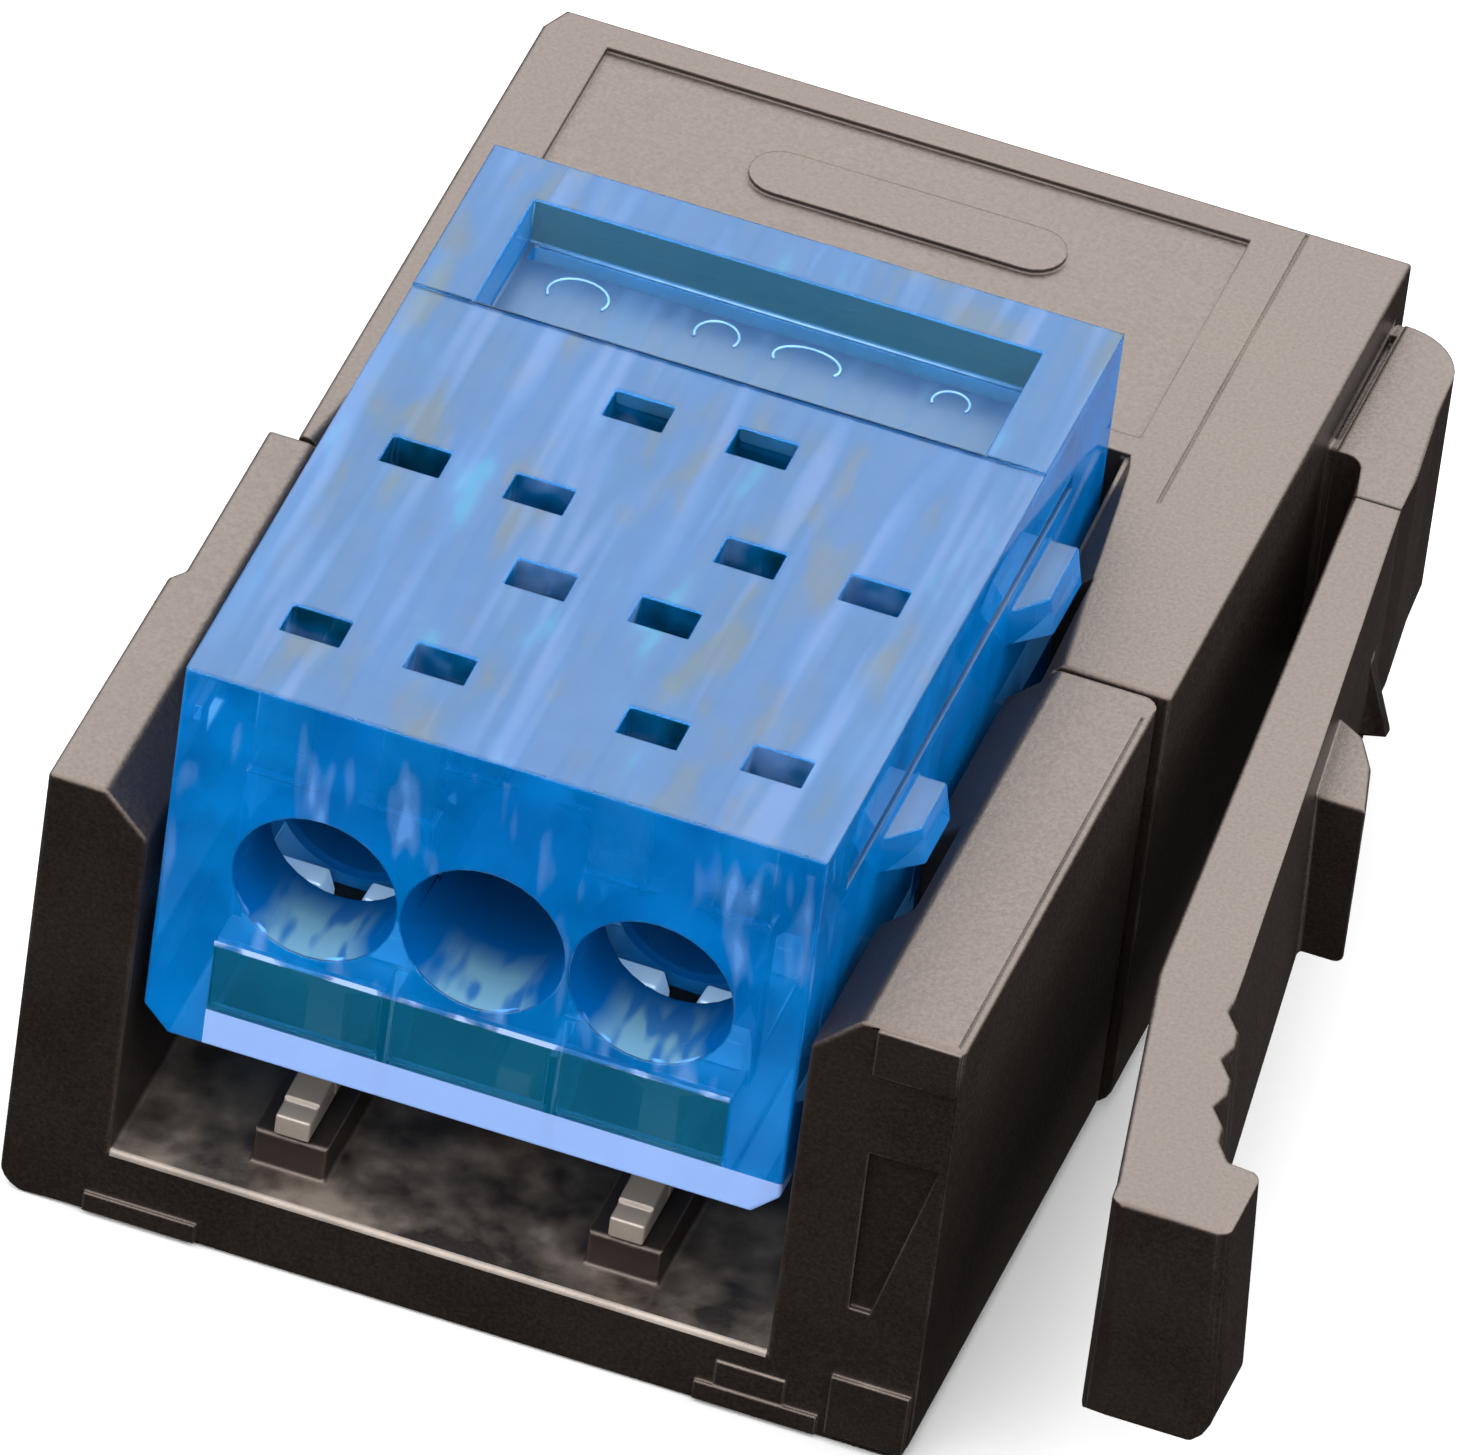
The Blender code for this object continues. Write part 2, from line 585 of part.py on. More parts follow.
def latch_tooth():
    """A small tooth whose face leans back into the lever towards its top."""
    low, high = 2.9 * MM, 3.9 * MM
    profile = [(4.2, -0.1, -0.1), (3.52, 0.36, 0.03), (3.36, 0.34, 0.02), (3.2, -0.1, -0.1)]
    low_ring = [Vector((lever_outer_x(y * MM) + foot * MM, y * MM, low)) for y, foot, _ in profile]
    high_ring = [Vector((lever_outer_x(y * MM) + head * MM, y * MM, high)) for y, _, head in profile]
    return loft("latch_tooth", low_ring, high_ring)


def cut_pad_corner(lever):
    """Round the thumb pad's lower outer edge."""
    centre = (8.86 * MM, LEVER_BOTTOM_Z + 0.45 * MM)
    beyond_x = 9.9 * MM
    beneath = LEVER_BOTTOM_Z - OVERSHOOT
    section = arc(centre, 0.50 * MM, -90, 0, 5)
    section += [(beyond_x, centre[1]), (beyond_x, beneath), (centre[0], beneath)]
    cut(lever, prism("cut_pad_corner", section, "Y", -9.4 * MM, -7.4 * MM))


def make_lever():
    plan = lever_outline()
    px, py = NECK_PIVOT

    def local(point, z):
        return Vector((point[0] - px, point[1] - py, z))

    def drafted(point):
        middle = (lever_inner_x(point[1]) + lever_outer_x(point[1])) / 2
        reach = min(1.0, max(0.0, (py - point[1]) / (4.0 * MM)))
        push = LEVER_DRAFT * reach if point[0] > middle else 0.0
        return (point[0] + push, point[1])

    lever = loft("latch_lever", [local(drafted(p), LEVER_BOTTOM_Z) for p in plan],
                 [local(p, LEVER_TOP_Z) for p in plan])
    lever.location = (px, py, 0.0)

    join(lever, latch_hook(), latch_tooth())
    cut_pad_corner(lever)
    finish_object(lever, material("dark_brown_polyester_lever", (0.020, 0.016, 0.014), 0.5))
    return lever


def main():
    clear_scene()
    make_housing()
    for index, x in enumerate(wire_positions()):
        make_contact(index, x)
    make_cover()
    make_lever()


main()
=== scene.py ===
"""Looks for the three-pole sensor connector plug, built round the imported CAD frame."""
import json
import math

import bmesh
import bpy
from mathutils import Matrix, Vector


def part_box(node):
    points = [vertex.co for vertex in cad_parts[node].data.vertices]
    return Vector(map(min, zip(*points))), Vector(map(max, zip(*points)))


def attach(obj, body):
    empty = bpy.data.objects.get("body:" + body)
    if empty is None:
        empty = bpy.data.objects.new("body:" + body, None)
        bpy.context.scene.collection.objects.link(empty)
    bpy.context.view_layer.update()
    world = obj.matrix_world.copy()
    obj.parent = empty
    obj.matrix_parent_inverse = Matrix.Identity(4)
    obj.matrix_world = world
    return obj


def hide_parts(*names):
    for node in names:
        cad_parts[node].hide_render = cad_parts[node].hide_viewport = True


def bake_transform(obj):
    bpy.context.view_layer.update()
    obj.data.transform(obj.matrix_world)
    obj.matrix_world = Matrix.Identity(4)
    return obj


MM = 0.001
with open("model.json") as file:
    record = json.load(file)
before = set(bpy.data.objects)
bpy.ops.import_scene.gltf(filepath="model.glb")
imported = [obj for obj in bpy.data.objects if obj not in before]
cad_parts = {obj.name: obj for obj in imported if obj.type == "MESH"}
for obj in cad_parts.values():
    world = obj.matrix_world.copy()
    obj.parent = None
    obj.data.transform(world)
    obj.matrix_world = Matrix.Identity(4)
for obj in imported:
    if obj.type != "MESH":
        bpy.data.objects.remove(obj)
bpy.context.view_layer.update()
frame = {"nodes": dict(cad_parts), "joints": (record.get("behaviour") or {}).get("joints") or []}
NODES = frame["nodes"]
JOINTS = {joint["name"]: joint for joint in frame["joints"]}

# The three wire channels in the raised cover.
WIRE_PITCH = 2.0 * MM
WIRE_HEIGHT = 5.38 * MM

# Widths of the rounded edges.
HOUSING_EDGE = 0.05 * MM
COVER_EDGE = 0.035 * MM
CONTACT_EDGE = 0.03 * MM

# Two faces meet at a sharp edge above the first angle and are one flat area below the second.
SHARP = math.radians(33)
FLAT = math.radians(0.6)
STRAIGHT = 0.9999
SEAM = 0.0002 * MM

# The denoiser draws thin lines where roughness passes 0.27 or haze passes 0.25, so the cover's
# top and haze stay above these.
SATIN_LEAST = 0.29
HAZE_LEAST = 0.27

DOME_STRENGTH = 7.2
DOME_THROUGH_GLASS = 1.6

# The camera was fitted to 35 corners of the object in the photograph.
VIEW_AZIMUTH = 14.08
VIEW_ELEVATION = 39.02
VIEW_ROLL = 7.94
VIEW_DISTANCE = 376.25 * MM
VIEW_CENTRE = Vector((1.356, -3.171, 5.679)) * MM
LENS_MM = 826.05
SENSOR_MM = 36.0


# ---------------------------------------------------------------- node helpers

class Shader:
    """A small wrapper that builds one material's node tree."""

    def __init__(self, name):
        self.material = bpy.data.materials.new(name)
        self.material.use_nodes = True
        self.tree = self.material.node_tree
        self.bsdf = self.tree.nodes["Principled BSDF"]
        self.output = self.tree.nodes["Material Output"]
        coords = self.tree.nodes.new("ShaderNodeTexCoord")
        self.position = coords.outputs["Object"]

    def add(self, kind, **values):
        """A new node with the given settings."""
        node = self.tree.nodes.new(kind)
        for key, value in values.items():
            setattr(node, key, value)
        return node

    def link(self, source, target):
        self.tree.links.new(source, target)

    def noise(self, feature_size, detail=3.0, stretch=(1, 1, 1), roughness=0.55):
        """Noise whose features have about the given size in metres."""
        mapping = self.add("ShaderNodeMapping")
        mapping.inputs["Scale"].default_value = [s / feature_size for s in stretch]
        self.link(self.position, mapping.inputs["Vector"])
        noise = self.add("ShaderNodeTexNoise")
        noise.inputs["Scale"].default_value = 1.0
        noise.inputs["Detail"].default_value = detail
        noise.inputs["Roughness"].default_value = roughness
        self.link(mapping.outputs["Vector"], noise.inputs["Vector"])
        return noise.outputs["Fac"]

    def ramp(self, source, stops):
        """Map a 0 to 1 value through colour stops of (position, colour)."""
        ramp = self.add("ShaderNodeValToRGB")
        elements = ramp.color_ramp.elements
        while len(elements) < len(stops):
            elements.new(0.5)
        for element, (position, colour) in zip(elements, stops):
            element.position = position
            element.color = (*colour, 1.0)
        self.link(source, ramp.inputs["Fac"])
        return ramp.outputs["Color"]

    def remap(self, source, low, high, to_low, to_high):
        """Map one range onto another and hold the ends."""
        node = self.add("ShaderNodeMapRange")
        node.inputs["From Min"].default_value = low
        node.inputs["From Max"].default_value = high
        node.inputs["To Min"].default_value = to_low
        node.inputs["To Max"].default_value = to_high
        self.link(source, node.inputs["Value"])
        return node.outputs["Result"]

    def mix(self, factor, first, second):
        """Colour that goes from first to second as the factor goes from 0 to 1."""
        node = self.add("ShaderNodeMix", data_type="RGBA")
        self.link(factor, node.inputs["Factor"])
        for value, name in ((first, "A"), (second, "B")):
            socket = [s for s in node.inputs if s.name == name and s.type == "RGBA"][0]
            if isinstance(value, tuple):
                socket.default_value = (*value, 1.0)
            else:
                self.link(value, socket)
        return [s for s in node.outputs if s.type == "RGBA"][0]

    def math(self, operation, first, second):
        """One step of arithmetic on sockets or plain numbers."""
        node = self.add("ShaderNodeMath", operation=operation)
        for value, socket in ((first, node.inputs[0]), (second, node.inputs[1])):
            if isinstance(value, (int, float)):
                socket.default_value = value
            else:
                self.link(value, socket)
        return node.outputs["Value"]

    def facing(self, axis, low, high):
        """0 to 1 as the surface turns to face along an axis."""
        geometry = self.add("ShaderNodeNewGeometry")
        split = self.add("ShaderNodeSeparateXYZ")
        self.link(geometry.outputs["True Normal"], split.inputs["Vector"])
        return self.remap(split.outputs[axis], low, high, 0.0, 1.0)

    def along(self, axis):
        """Position along an axis in metres."""
        split = self.add("ShaderNodeSeparateXYZ")
        self.link(self.position, split.inputs["Vector"])
        return split.outputs[axis]

    def within(self, value, low, high):
        """1 where the value lies between two limits, 0 elsewhere."""
        above = self.math("GREATER_THAN", value, low)
        below = self.math("LESS_THAN", value, high)
        return self.math("MULTIPLY", above, below)

    def slab(self, **spans):
        """1 inside the spans, given in mm as in x=(-3, 3), and 0 outside them."""
        bands = [self.within(self.along(axis.upper()), low * MM, high * MM)
                 for axis, (low, high) in spans.items()]
        mask = bands[0]
        for band in bands[1:]:
            mask = self.math("MULTIPLY", mask, band)
        return mask

    def bore_wall(self, pitch, centre_z, inner, outer):
        """1 near the walls of round bores along Y that repeat along X at the pitch."""
        half_turn = 0.5
        whole_turns = 10.0
        turns = self.math("MULTIPLY", self.along("X"), 1 / pitch)
        turns = self.math("FRACT", self.math("ADD", turns, whole_turns + half_turn), 0.0)
        across = self.math("MULTIPLY", self.math("SUBTRACT", turns, half_turn), pitch)
        up = self.math("SUBTRACT", self.along("Z"), centre_z)
        across_squared = self.math("MULTIPLY", across, across)
        up_squared = self.math("MULTIPLY", up, up)
        radius = self.math("SQRT", self.math("ADD", across_squared, up_squared), 0.0)
        return self.within(radius, inner, outer)

    def mix_value(self, factor, first, second):
        """First where the factor is 0, second where it is 1."""
        node = self.add("ShaderNodeMix", data_type="FLOAT")
        self.link(factor, node.inputs["Factor"])
        self.link(first, node.inputs["A"])
        self.link(second, node.inputs["B"])
        return node.outputs["Result"]

    def rounded_normal(self, radius, samples=6):
        """The surface normal as if every edge were rounded to the radius."""
        bevel = self.add("ShaderNodeBevel", samples=samples)
        bevel.inputs["Radius"].default_value = radius
        return bevel.outputs["Normal"]

    def edge_mask(self, rounded):
        """About 0 on flat faces and towards 1 where the rounded normal leaves the true one."""
        same, apart = 0.995, 0.80
        geometry = self.add("ShaderNodeNewGeometry")
        dot = self.add("ShaderNodeVectorMath", operation="DOT_PRODUCT")
        self.link(rounded, dot.inputs[0])
        self.link(geometry.outputs["True Normal"], dot.inputs[1])
        return self.remap(dot.outputs["Value"], same, apart, 0.0, 1.0)

    def bump(self, height, strength, distance, normal):
        """The normal tilted by a height map."""
        node = self.add("ShaderNodeBump")
        node.inputs["Strength"].default_value = strength
        node.inputs["Distance"].default_value = distance
        self.link(height, node.inputs["Height"])
        self.link(normal, node.inputs["Normal"])
        return node.outputs["Normal"]


# ---------------------------------------------------------------- materials

def dark_plastic(name):
    """Fine-grained dark brown polyester with a warm sheen, painted highlights along its edges and
    painted reflections on the trough floor.
    """
    s = Shader(name)
    rounded = s.rounded_normal(0.045 * MM)
    cloud = s.noise(1.6 * MM, detail=4.0)
    grain = s.noise(0.05 * MM, detail=2.0)
    floor_blotch_noise = s.noise(0.9 * MM, detail=4.0)

    colour = s.ramp(cloud, [(0.35, (0.0028, 0.0016, 0.0013)), (0.65, (0.0050, 0.0032, 0.0026))])
    # Lighter blotches on the trough floor are painted reflections of its glossy surface.
    trough_floor = s.math("MULTIPLY", s.facing("Z", 0.5, 0.95), s.slab(z=(0.5, 1.2)))
    painted_floor_reflections = s.ramp(floor_blotch_noise, [(0.40, (0.005, 0.0036, 0.003)), (0.54, (0.030, 0.024, 0.020)),
                              (0.68, (0.075, 0.062, 0.053))])
    colour = s.mix(trough_floor, colour, painted_floor_reflections)
    # Edges are painted lighter as highlights where the rounded normal leaves the true one.
    painted_edge_highlights = s.math("MULTIPLY", s.edge_mask(rounded), s.remap(cloud, 0.35, 0.65, 0.05, 0.45))
    colour = s.mix(painted_edge_highlights, colour, (0.11, 0.094, 0.083))
    funnel = s.slab(x=(4.72, 5.66), y=(-7.786, -7.68), z=(1.85, 4.30))
    colour = s.mix(funnel, colour, (0.0035, 0.0022, 0.0018))
    # A painted highlight line along the front edge of the trough floor.
    floor_edge_highlight = s.slab(x=(-3.93, 3.93), y=(-7.80, -7.72), z=(0.885, 0.965))
    floor_edge_highlight = s.math("MULTIPLY", floor_edge_highlight, s.remap(cloud, 0.35, 0.65, 0.45, 1.0))
    colour = s.mix(floor_edge_highlight, colour, (0.16, 0.14, 0.125))

    s.link(colour, s.bsdf.inputs["Base Color"])
    s.link(s.remap(grain, 0.3, 0.7, 0.36, 0.50), s.bsdf.inputs["Roughness"])
    s.link(s.remap(funnel, 0.0, 1.0, 0.5, 0.38), s.bsdf.inputs["Specular IOR Level"])
    s.bsdf.inputs["IOR"].default_value = 1.58
    s.bsdf.inputs["Specular Tint"].default_value = (1.0, 0.83, 0.73, 1.0)
    s.link(s.bump(grain, 0.5, 0.008 * MM, rounded), s.bsdf.inputs["Normal"])
    return s.material


def channel_wall(s):
    """Mask and colour for the walls of the wire channels: painted shade inside, and painted light,
    pale, at the mouth's lower side.
    """
    wall = s.bore_wall(WIRE_PITCH, WIRE_HEIGHT, 0.86 * MM, 1.02 * MM)
    wall = s.math("MULTIPLY", wall, s.slab(x=(-3.1, 3.1), y=(-7.60, 1.9)))
    mouth = s.remap(s.along("Y"), -7.05 * MM, -6.55 * MM, 1.0, 0.0)
    bottom = s.remap(s.along("Z"), 4.50 * MM, 4.72 * MM, 1.0, 0.0)
    broken = s.remap(s.noise(0.28 * MM, detail=1.0, stretch=(1.0, 0.3, 1.0)), 0.40, 0.52, 0.2, 1.0)
    # Pale where light enters the bores: painted light at the mouth's lower side.
    pale = s.math("MULTIPLY", s.math("MULTIPLY", mouth, bottom), broken)
    return wall, s.mix(pale, (0.0, 0.045, 0.17), (0.060, 0.14, 0.21))


def front_marks(s):
    """Masks for the cover's front: the bays, which get painted shade, the lip, the ledge over the bays,
    and paler upright streaks.
    """
    # The bays are where the front is painted dark as shade in the openings.
    bays = s.slab(x=(-3.07, 3.07), y=(-7.7, -7.3), z=(3.25, 4.18))
    lip = s.slab(x=(-3.07, 3.9), y=(-7.7, -7.3), z=(2.7, 3.25))
    ledge = s.slab(x=(-3.07, 3.07), y=(-7.7, -7.3), z=(4.17, 4.25))
    broken = s.remap(s.noise(0.5 * MM, detail=2.0), 0.42, 0.55, 0.1, 1.0)
    ledge = s.math("MULTIPLY", ledge, broken)
    # Paler upright streaks down the front face.
    upright = s.noise(0.30 * MM, detail=1.0, stretch=(1.0, 1.0, 0.22))
    upright_streaks = s.remap(upright, 0.60, 0.74, 0.0, 1.0)
    upright_streaks = s.math("MULTIPLY", upright_streaks, s.slab(y=(-7.7, -7.55), z=(4.3, 7.7)))
    return bays, lip, ledge, upright_streaks


def cover_haze(s, facing_up, streaks, clouds):
    """Colour and amount of the milky haze in each part of the cover."""
    patches = s.noise(0.7 * MM, detail=3.0, stretch=(1.3, 0.40, 1.0))
    # The haze is painted a brighter blue on the sides than on the top, as a glow of light scattered
    # inside the cover.
    side_colour = s.ramp(clouds, [(0.35, (0.0, 0.13, 0.42)), (0.65, (0.0, 0.165, 0.51))])
    top_colour = s.ramp(patches, [(0.32, (0.05, 0.065, 0.075)), (0.45, (0.01, 0.06, 0.17)),
                                  (0.62, (0.01, 0.065, 0.19)), (0.72, (0.01, 0.14, 0.26))])
    # Pale streaks on the top are painted highlights along the cover.
    painted_highlight_streaks = s.remap(streaks, 0.52, 0.72, 0.0, 0.5)
    top_colour = s.mix(painted_highlight_streaks, top_colour, (0.10, 0.14, 0.25))
    colour = s.mix(facing_up, side_colour, top_colour)
    side_amount = s.remap(clouds, 0.35, 0.65, HAZE_LEAST, 0.38)
    top_amount = s.remap(streaks, 0.42, 0.68, HAZE_LEAST, 0.40)
    amount = s.mix_value(facing_up, side_amount, top_amount)

    channel, channel_colour = channel_wall(s)
    # The slot walls are painted dark as shade inside the slots.
    slot_shade = s.slab(x=(-3.3, 3.3), y=(-7.0, -0.3), z=(6.35, 7.90))
    slot_shade_colour = s.ramp(s.noise(0.9 * MM, detail=2.0),
                         [(0.38, (0.0, 0.016, 0.030)), (0.52, (0.0, 0.045, 0.12)),
                          (0.64, (0.05, 0.11, 0.24))])
    # The viewing window's far wall is painted dark as shade, and its floor paler as painted light.
    window_wall = s.slab(x=(-3.05, 3.05), y=(1.98, 2.10), z=(7.38, 7.93))
    window_floor = s.math("MULTIPLY", facing_up, s.slab(z=(7.30, 7.42)))
    bays, lip, ledge, upright_streaks = front_marks(s)
    zones = (
        (channel, channel_colour, 0.94),
        (slot_shade, slot_shade_colour, 0.65),
        (window_wall, (0.0, 0.045, 0.085), 0.6),
        (upright_streaks, (0.08, 0.24, 0.58), 0.40),
        (lip, (0.22, 0.33, 0.62), 0.5),
        (bays, (0.0, 0.08, 0.15), 0.0),
        (ledge, (0.26, 0.36, 0.62), 0.6),
        (window_floor, (0.035, 0.085, 0.18), 0.0),
    )
    for mask, zone_colour, least in zones:
        colour = s.mix(mask, colour, zone_colour)
        amount = s.math("MAXIMUM", amount, s.math("MULTIPLY", mask, least))
    return colour, amount


def clear_blue_plastic(name):
    """Blue polycarbonate: clear body, milky haze, and streaks along the cover, in its roughness and as
    painted highlights.
    """
    s = Shader(name)
    rounded = s.rounded_normal(0.05 * MM)
    facing_up = s.facing("Z", 0.5, 0.95)
    streaks = s.noise(0.45 * MM, detail=1.0, stretch=(1.6, 0.10, 1.0))
    clouds = s.noise(1.3 * MM, detail=5.0)

    tint = s.ramp(clouds, [(0.35, (0.26, 0.66, 0.92)), (0.65, (0.44, 0.80, 0.98))])
    gloss = s.remap(streaks, 0.35, 0.7, 0.02, 0.07)
    satin = s.remap(streaks, 0.35, 0.7, SATIN_LEAST, 0.38)
    s.link(tint, s.bsdf.inputs["Base Color"])
    s.link(s.mix_value(facing_up, gloss, satin), s.bsdf.inputs["Roughness"])
    s.link(rounded, s.bsdf.inputs["Normal"])
    s.bsdf.inputs["Transmission Weight"].default_value = 1.0
    s.bsdf.inputs["IOR"].default_value = 1.55
    s.bsdf.inputs["Specular Tint"].default_value = (0.36, 0.62, 0.88, 1.0)

    haze = s.add("ShaderNodeBsdfDiffuse")
    blend = s.add("ShaderNodeMixShader")
    colour, amount = cover_haze(s, facing_up, streaks, clouds)
    s.link(colour, haze.inputs["Color"])
    s.link(rounded, haze.inputs["Normal"])
    s.link(amount, blend.inputs["Fac"])
    s.link(s.bsdf.outputs["BSDF"], blend.inputs[1])
    s.link(haze.outputs["BSDF"], blend.inputs[2])
    s.link(blend.outputs["Shader"], s.output.inputs["Surface"])

    absorb = s.add("ShaderNodeVolumeAbsorption")
    absorb.inputs["Color"].default_value = (0.06, 0.55, 0.95, 1.0)
    absorb.inputs["Density"].default_value = 110.0
    s.link(absorb.outputs["Volume"], s.output.inputs["Volume"])
    return s.material


def highlight_line(name):
    """Pale colour on a fine raised line on the cover, painted as an edge highlight."""
    s = Shader(name)
    speckle = s.noise(0.2 * MM, detail=2.0)
    colour = s.ramp(speckle, [(0.3, (0.03, 0.10, 0.22)), (0.7, (0.06, 0.16, 0.30))])
    s.link(colour, s.bsdf.inputs["Base Color"])
    s.bsdf.inputs["Roughness"].default_value = 0.35
    return s.material


def plated_metal(name):
    """Tin-plated copper alloy with rolling lines, painted shade on the near ends, and a painted blue
    glow on the forks for light through the cover.
    """
    s = Shader(name)
    rounded = s.rounded_normal(0.03 * MM, samples=4)
    rolling = s.noise(0.12 * MM, detail=3.0, stretch=(1.0, 0.08, 1.0))
    cloud = s.noise(0.8 * MM, detail=3.0)
    # The forks get a painted blue glow, in colour and in emission, for light reaching them through the
    # cover.
    painted_prong_glow = s.slab(y=(-7.5, 2.5), z=(3.4, 4.6))
    # The near ends are painted darker as shade down in the trough.
    painted_end_shade = s.slab(y=(-7.5, -3.5), z=(1.0, 3.4))

    colour = s.ramp(cloud, [(0.3, (0.50, 0.44, 0.39)), (0.7, (0.72, 0.66, 0.60))])
    colour = s.mix(painted_end_shade, colour, (0.22, 0.19, 0.165))
    colour = s.mix(painted_prong_glow, colour, (0.36, 0.48, 0.66))
    s.link(colour, s.bsdf.inputs["Base Color"])
    s.bsdf.inputs["Emission Color"].default_value = (0.34, 0.62, 0.95, 1.0)
    s.link(s.math("MULTIPLY", painted_prong_glow, 0.30), s.bsdf.inputs["Emission Strength"])
    s.bsdf.inputs["Metallic"].default_value = 0.55
    s.link(s.remap(rolling, 0.3, 0.7, 0.28, 0.45), s.bsdf.inputs["Roughness"])
    s.link(s.bump(rolling, 0.3, 0.004 * MM, rounded), s.bsdf.inputs["Normal"])
    return s.material


def pale_floor(name):
    """Matt paint that is close to one grey, with a faint mottle."""
    s = Shader(name)
    mottle = s.noise(60 * MM, detail=2.0)
    colour = s.ramp(mottle, [(0.3, (0.29, 0.29, 0.29)), (0.7, (0.31, 0.31, 0.31))])
    s.link(colour, s.bsdf.inputs["Base Color"])
    s.bsdf.inputs["Roughness"].default_value = 0.9
    s.bsdf.inputs["Specular IOR Level"].default_value = 0.1
    return s.material


# ---------------------------------------------------------------- visual meshes

def new_object(name, bm):
    """An object in the scene made from the bmesh, which is used up."""
    mesh = bpy.data.meshes.new(name)
    bm.to_mesh(mesh)
    bm.free()
    obj = bpy.data.objects.new(name, mesh)
    bpy.context.scene.collection.objects.link(obj)
    return obj


def assign(obj, material):
    """Make the material the object's only one."""
    obj.data.materials.clear()
    obj.data.materials.append(material)


def stays_convex(edge):
    """True if the two flat faces beside the edge make one convex face without it."""
    slack = 1e-14
    loop = edge.link_loops[0]
    other = edge.link_loops[1]
    normal = loop.face.normal
    corners = ((loop.link_loop_prev, loop, other.link_loop_next.link_loop_next),
               (other.link_loop_prev, other, loop.link_loop_next.link_loop_next))
    for before, here, after in corners:
        turn = (here.vert.co - before.vert.co).cross(after.vert.co - here.vert.co)
        if turn.dot(normal) < -slack:
            return False
    return True


def clean_copy(mesh):
    """The mesh with its seams welded and its flat triangles joined into convex faces."""
    bm = bmesh.new()
    bm.from_mesh(mesh)
    bmesh.ops.remove_doubles(bm, verts=bm.verts, dist=SEAM)
    bm.normal_update()
    for edge in sorted(bm.edges, key=lambda e: -e.calc_length()):
        if not edge.is_valid or len(edge.link_faces) != 2:
            continue
        if edge.calc_face_angle() < FLAT and stays_convex(edge):
            bmesh.utils.face_join(edge.link_faces, True)
    return bm


def flat_reach(edge, face):
    """How far the flat area beside the edge extends sideways from it."""
    start = edge.verts[0].co
    along = (edge.verts[1].co - start).normalized()
    area = {face}
    for border in face.edges:
        if len(border.link_faces) == 2 and border.calc_face_angle() < FLAT:
            area.update(border.link_faces)
    return max((v.co - start).cross(along).length for f in area for v in f.verts)


def straight_run(edge, sharp):
    """Length of the straight sharp edge that this one is part of."""
    along = (edge.verts[1].co - edge.verts[0].co).normalized()
    total = edge.calc_length()
    for end in edge.verts:
        here, current = end, edge
        while True:
            onward = [e for e in here.link_edges if e is not current and e in sharp
                      and abs((e.other_vert(here).co - here.co).normalized().dot(along)) > STRAIGHT]
            if not onward:
                break
            current = onward[0]
            total += current.calc_length()
            here = current.other_vert(here)
    return total


def shade(bm):
    """Smooth shading on the narrow facets of curves only, so that flat areas stay flat."""
    narrow = 0.35 * MM
    bm.normal_update()
    for edge in bm.edges:
        edge.smooth = len(edge.link_faces) == 2 and edge.calc_face_angle() < SHARP
    for face in bm.faces:
        curved = [e for e in face.edges if e.smooth and e.calc_face_angle() > FLAT]
        face.smooth = any(flat_reach(e, face) < narrow for e in curved)


def round_off(bm, width, segments=3, margin=3.0):
    """Round the moulded edges that have room for it, and leave the fine lines crisp."""
    room = margin * width
    shortest = 1.2 * width
    sharp = {e for e in bm.edges if len(e.link_faces) == 2 and e.calc_face_angle() > SHARP}
    chosen = [e for e in bm.edges if e in sharp and straight_run(e, sharp) > room
              and min(flat_reach(e, face) for face in e.link_faces) > room]
    fine = {v for e in sharp if e.calc_length() < shortest for v in e.verts}
    chosen = [e for e in chosen if not fine.intersection(e.verts)]
    bmesh.ops.bevel(bm, geom=chosen, offset=width, segments=segments, profile=0.5,
                    affect="EDGES", clamp_overlap=False, miter_outer="SHARP")
    bmesh.ops.remove_doubles(bm, verts=bm.verts, dist=0.0005 * MM)


def rounded_stand_in(node, body, width, name, material):
    """Put a piece with rounded edges in a CAD node's place."""
    bm = clean_copy(NODES[node].data)
    round_off(bm, width)
    shade(bm)
    piece = new_object(name, bm)
    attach(piece, body)
    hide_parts(node)
    assign(piece, material)


def prism(name, outline, low, high):
    """An upright solid with the outline as its plan."""
    bm = bmesh.new()
    rings = [[bm.verts.new((x, y, z)) for x, y in outline] for z in (low, high)]
    bm.faces.new(list(reversed(rings[0])))
    bm.faces.new(rings[1])
    count = len(outline)
    for i in range(count):
        j = (i + 1) % count
        bm.faces.new((rings[0][i], rings[0][j], rings[1][j], rings[1][i]))
    bmesh.ops.recalc_face_normals(bm, faces=bm.faces)
    return new_object(name, bm)


def arc(centre, radius, start_deg, end_deg, steps):
    """Points along an arc, both ends included."""
    angles = [math.radians(start_deg + (end_deg - start_deg) * i / steps) for i in range(steps + 1)]
    return [(centre[0] + radius * math.cos(a), centre[1] + radius * math.sin(a)) for a in angles]


def united(first, second):
    """One mesh from two overlapping objects, which are used up."""
    modifier = first.modifiers.new("union", "BOOLEAN")
    modifier.operation = "UNION"
    modifier.solver = "EXACT"
    modifier.object = second
    graph = bpy.context.evaluated_depsgraph_get()
    mesh = bpy.data.meshes.new_from_object(first.evaluated_get(graph))
    bpy.data.objects.remove(first)
    bpy.data.objects.remove(second)
    return mesh


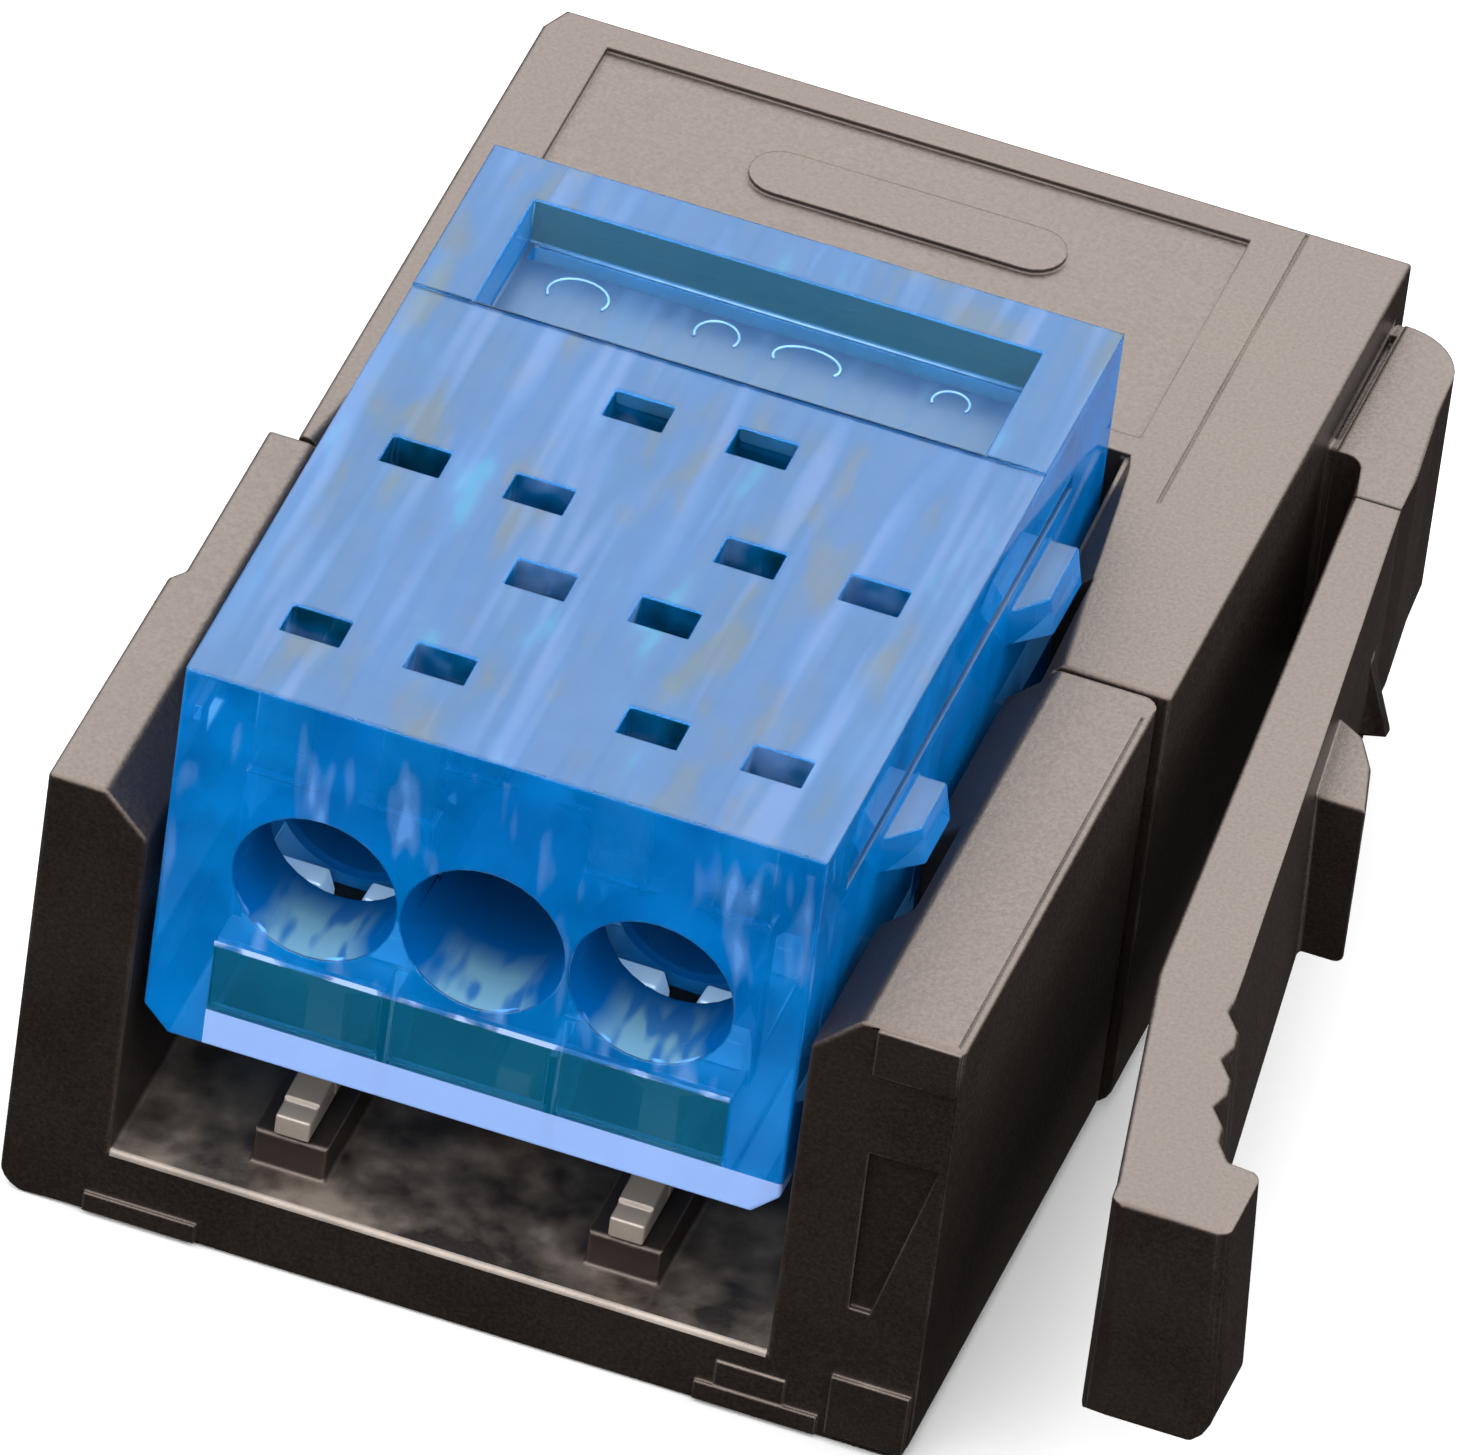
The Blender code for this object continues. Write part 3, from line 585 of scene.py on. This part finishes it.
def tube(name, points, radius, sides=8):
    """A fine raised line through points that lie at one height."""
    up = Vector((0, 0, 1))
    bm = bmesh.new()
    rings = []
    for i, point in enumerate(points):
        before, after = points[max(i - 1, 0)], points[min(i + 1, len(points) - 1)]
        along = (Vector(after) - Vector(before)).normalized()
        side = along.cross(up)
        ring = []
        for k in range(sides):
            angle = 2 * math.pi * k / sides
            offset = side * math.cos(angle) + up * math.sin(angle)
            ring.append(bm.verts.new(Vector(point) + offset * radius))
        rings.append(ring)
    for ring, following in zip(rings, rings[1:]):
        for k in range(sides):
            bm.faces.new((ring[k], following[k], following[(k + 1) % sides], ring[(k + 1) % sides]))
    bm.faces.new(rings[0])
    bm.faces.new(list(reversed(rings[-1])))
    bmesh.ops.recalc_face_normals(bm, faces=bm.faces)
    return new_object(name, bm)


# ---------------------------------------------------------------- the bending lever

def root_skin():
    """A thin skin over the lever's root block, which carries the neck across the CAD gap."""
    skin = 0.012 * MM
    low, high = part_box("latch_lever")
    inner_x = 5.93 * MM
    far_y = 7.402 * MM
    inner_y = 4.90 * MM
    near_y = 4.2 * MM
    shoulder = (6.80 * MM + skin, 6.0 * MM)
    taper = (6.935 * MM + skin, 4.87 * MM)
    neck_outer, neck_inner = 6.957 * MM, 6.375 * MM
    outline = [(inner_x, far_y + skin)]
    outline += arc((5.98 * MM, 6.62 * MM), 0.78 * MM + skin, 84, 8, 8)
    outline += [shoulder, taper, (neck_outer, near_y), (neck_inner, near_y)]
    outline += arc((6.05 * MM, 4.62 * MM), 0.28 * MM - skin, 5, 100, 6)
    outline += [(inner_x, inner_y - skin)]
    return prism("root_skin", outline, low.z - skin, high.z + skin)


def bending_lever(material):
    """The latch lever, grown in one piece from the root block without a seam and sliced across its
    neck.
    """
    copy = bpy.data.objects.new("lever_copy", NODES["latch_lever"].data.copy())
    bpy.context.scene.collection.objects.link(copy)
    weld = copy.modifiers.new("weld", "WELD")
    weld.merge_threshold = SEAM
    bm = clean_copy(united(copy, root_skin()))
    round_off(bm, HOUSING_EDGE)
    pivot = Vector(JOINTS["lever_flex"]["pos_m"])
    behind = 0.9 * MM
    reach = 2.6 * MM
    cuts = 14
    on_plane = 1e-7
    for i in range(cuts):
        y = pivot.y + behind - (reach + behind) * i / (cuts - 1)
        geometry = bm.verts[:] + bm.edges[:] + bm.faces[:]
        bmesh.ops.bisect_plane(bm, geom=geometry, dist=on_plane, plane_co=(0, y, 0), plane_no=(0, 1, 0))
    shade(bm)
    lever = new_object("latch_lever_flexing", bm)
    assign(lever, material)
    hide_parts("latch_lever")
    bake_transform(lever)


# ---------------------------------------------------------------- fine cover details

def window_lines(material):
    """Fine lines in the viewing window, along its far ledge and the rounded ends of the channels, in a
    pale colour painted as edge highlights.
    """
    floor_z = 7.365 * MM
    ledge_half, ledge_y = 2.92 * MM, 2.00 * MM
    crown_y = 1.62
    line_radius = 0.020 * MM
    paths = {"window_ledge": [(-ledge_half, ledge_y, floor_z), (ledge_half, ledge_y, floor_z)]}
    ends = ((-2.22, 0.36, 0.60), (-0.56, 0.26, 0.52), (0.52, 0.40, 0.50), (2.24, 0.22, 0.42))
    for index, (x, half, length) in enumerate(ends):
        crown = arc((0, 0), 1.0, 205, -25, 14)
        path = [((x + px * half) * MM, (crown_y - length / 2 + py * length / 2) * MM, floor_z)
                for px, py in crown]
        paths[f"channel_end_{index + 1}"] = path
    for name, path in paths.items():
        line = tube(name, path, line_radius)
        line.data.shade_smooth()
        assign(line, material)
        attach(line, "cover")


# ---------------------------------------------------------------- stage

def make_floor():
    """A wide floor just under the object, left out of its reflections."""
    half = 0.6
    depth = -0.02 * MM
    corners = [(-half, -half, depth), (half, -half, depth), (half, half, depth), (-half, half, depth)]
    bm = bmesh.new()
    bm.faces.new([bm.verts.new(c) for c in corners])
    floor = new_object("floor", bm)
    assign(floor, pale_floor("floor_paint"))
    floor.visible_glossy = False


def direction(azimuth, elevation):
    """Unit vector from the object towards a viewer at these angles in degrees."""
    a, e = math.radians(azimuth), math.radians(elevation)
    return Vector((math.sin(a) * math.cos(e), -math.cos(a) * math.cos(e), math.sin(e)))


def make_sky():
    """A studio dome: bright overhead, falling to near black below the horizon."""
    world = bpy.data.worlds.new("studio_dome")
    bpy.context.scene.world = world
    world.use_nodes = True
    tree = world.node_tree
    coords = tree.nodes.new("ShaderNodeTexCoord")
    split = tree.nodes.new("ShaderNodeSeparateXYZ")
    ramp = tree.nodes.new("ShaderNodeValToRGB")
    tree.links.new(coords.outputs["Generated"], split.inputs["Vector"])
    tree.links.new(split.outputs["Z"], ramp.inputs["Fac"])
    dark, bright = ramp.color_ramp.elements
    dark.position, dark.color = 0.16, (0.002, 0.002, 0.002, 1.0)
    bright.position, bright.color = 0.55, (1.0, 1.0, 1.0, 1.0)
    background = tree.nodes["Background"]
    tree.links.new(ramp.outputs["Color"], background.inputs["Color"])
    path = tree.nodes.new("ShaderNodeLightPath")
    strength = tree.nodes.new("ShaderNodeMapRange")
    strength.inputs["To Min"].default_value = DOME_STRENGTH
    strength.inputs["To Max"].default_value = DOME_THROUGH_GLASS
    tree.links.new(path.outputs["Is Transmission Ray"], strength.inputs["Value"])
    tree.links.new(strength.outputs["Result"], background.inputs["Strength"])


def make_camera():
    """The camera at the photograph's viewing angle."""
    data = bpy.data.cameras.new("camera")
    data.lens = LENS_MM
    data.sensor_width = SENSOR_MM
    data.clip_start, data.clip_end = 0.01, 10.0
    camera = bpy.data.objects.new("camera", data)
    bpy.context.scene.collection.objects.link(camera)
    back = direction(VIEW_AZIMUTH, VIEW_ELEVATION)
    level = (-back).to_track_quat("-Z", "Y")
    turn = level @ Matrix.Rotation(math.radians(VIEW_ROLL), 3, "Z").to_quaternion()
    camera.rotation_mode = "QUATERNION"
    camera.rotation_quaternion = turn
    camera.location = VIEW_CENTRE + back * VIEW_DISTANCE
    bpy.context.scene.camera = camera


def main():
    """Dress every CAD node, then set the stage."""
    plastic = dark_plastic("dark_brown_polyester")
    metal = plated_metal("tin_plated_contact")
    blue = clear_blue_plastic("clear_blue_polycarbonate")
    rounded_stand_in("housing", "housing_body", HOUSING_EDGE, "housing_shell", plastic)
    for index in (1, 2, 3):
        name = f"contact_{index}"
        rounded_stand_in(name, "housing_body", CONTACT_EDGE, name + "_formed", metal)
    rounded_stand_in("wiring_cover", "cover", COVER_EDGE, "cover_moulding", blue)
    window_lines(highlight_line("highlight_line"))
    bending_lever(plastic)
    make_floor()
    make_sky()
    make_camera()
    bpy.context.scene.view_settings.view_transform = "Standard"


main()
